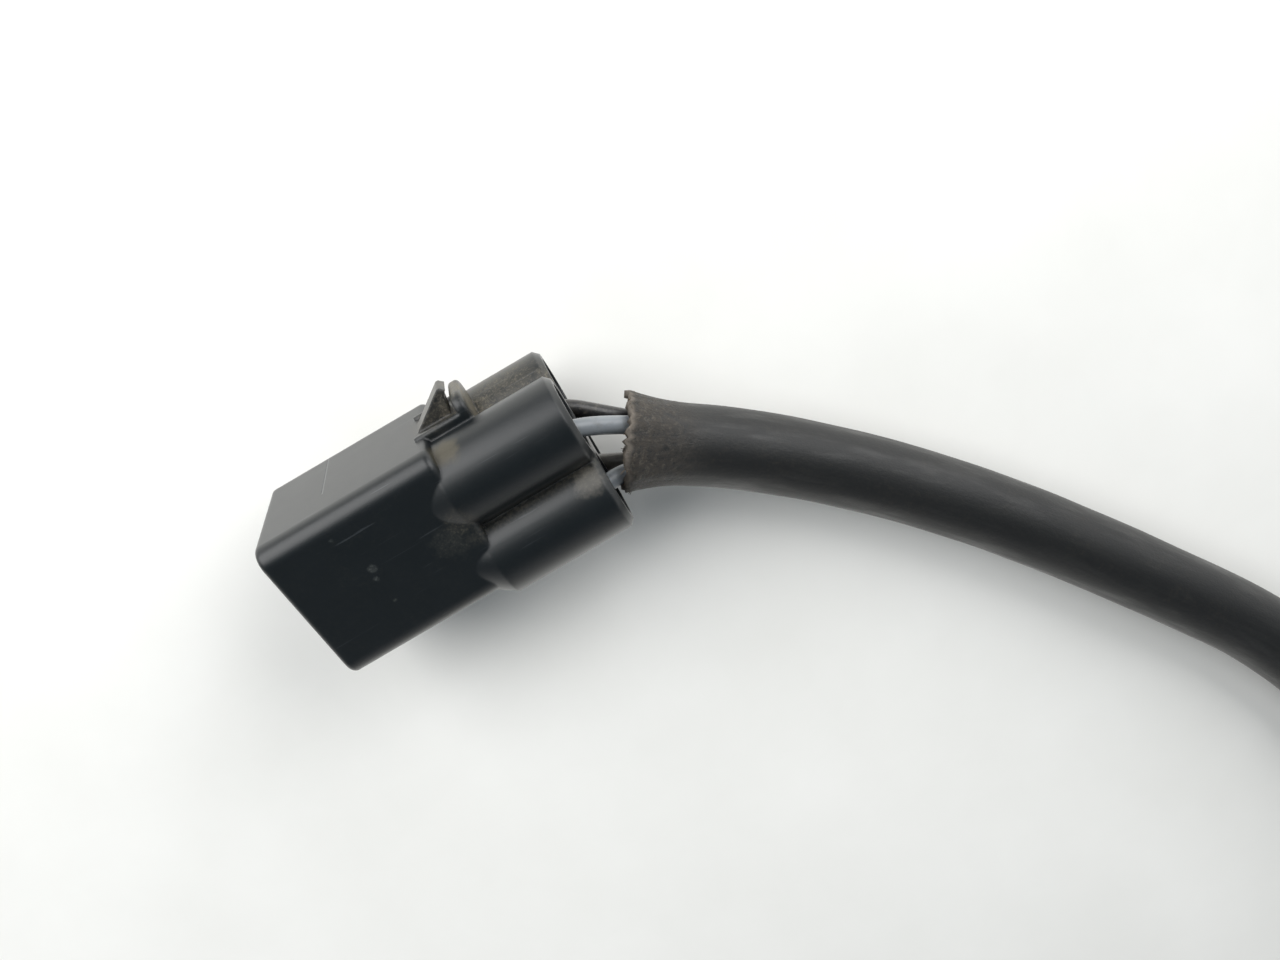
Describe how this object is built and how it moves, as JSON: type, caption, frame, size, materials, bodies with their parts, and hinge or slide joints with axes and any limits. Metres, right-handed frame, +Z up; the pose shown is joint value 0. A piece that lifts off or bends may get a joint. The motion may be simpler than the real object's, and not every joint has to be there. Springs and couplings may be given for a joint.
{
  "type": "oxygen sensor",
  "caption": "Heated exhaust oxygen sensor: screw-in steel body with vented tip shield, sleeved lead and rectangular sealed plug with a latch wedge.",
  "frame": {"origin": "centre of the gasket's sealing face, on the thread's axis", "axes": "+X along the thread towards the sensing tip, +Z up, with the sensor, its lead and its plug lying on one surface"},
  "size_m": [0.1572, 0.1734, 0.022],
  "materials": {
    "shell_steel": "plated steel, turned and milled",
    "gasket_steel": "bright folded sheet steel",
    "shield_steel": "drawn stainless, heat tinted",
    "zirconia": "matt sintered ceramic with platinum film",
    "washer_nickel": "nickel sheet",
    "talc": "pressed powder",
    "alumina": "matt white ceramic",
    "heater_alumina": "smooth white ceramic",
    "contact_steel": "sprung nickel alloy strip",
    "cover_steel": "drawn stainless",
    "filter_membrane": "porous white membrane",
    "grommet_rubber": "matt fluoro rubber",
    "plug_plastic": "moulded, satin, lightly dusty",
    "retainer_plastic": "moulded, satin",
    "terminal_tin": "tin plated",
    "seal_rubber": "soft silicone",
    "wire_black": "satin insulation",
    "wire_grey": "satin insulation, dusty",
    "wire_white": "satin insulation",
    "sleeving_rubber": "rubber coated fibre, dusty"
  },
  "bodies": {
    "root": {"ceramic_bushing": "alumina", "ceramic_separator": "alumina", "connector_housing": "plug_plastic", "crimp_ring": "washer_nickel", "element_washer": "washer_nickel", "filter_cover": "cover_steel", "grommet": "grommet_rubber", "heater_contact_1": "contact_steel", "heater_contact_2": "contact_steel", "heater_rod": "heater_alumina", "inner_contact": "contact_steel", "inner_tip_shield": "shield_steel", "metal_shell": "shell_steel", "outer_contact": "contact_steel", "outer_tip_shield": "shield_steel", "pin_terminal_black": "terminal_tin", "pin_terminal_grey": "terminal_tin", "pin_terminal_white_1": "terminal_tin", "pin_terminal_white_2": "terminal_tin", "rear_cover": "cover_steel", "seat_gasket": "gasket_steel", "sensing_thimble": "zirconia", "separator_spring": "contact_steel", "shield_retainer": "shield_steel", "sleeving": "sleeving_rubber", "talc_packing": "talc", "terminal_retainer": "retainer_plastic", "vent_filter": "filter_membrane", "wire_black": "wire_black", "wire_grey": "wire_grey", "wire_seal_black": "seal_rubber", "wire_seal_grey": "seal_rubber", "wire_seal_white_1": "seal_rubber", "wire_seal_white_2": "seal_rubber", "wire_white_1": "wire_white", "wire_white_2": "wire_white"}
  },
  "joints": []
}
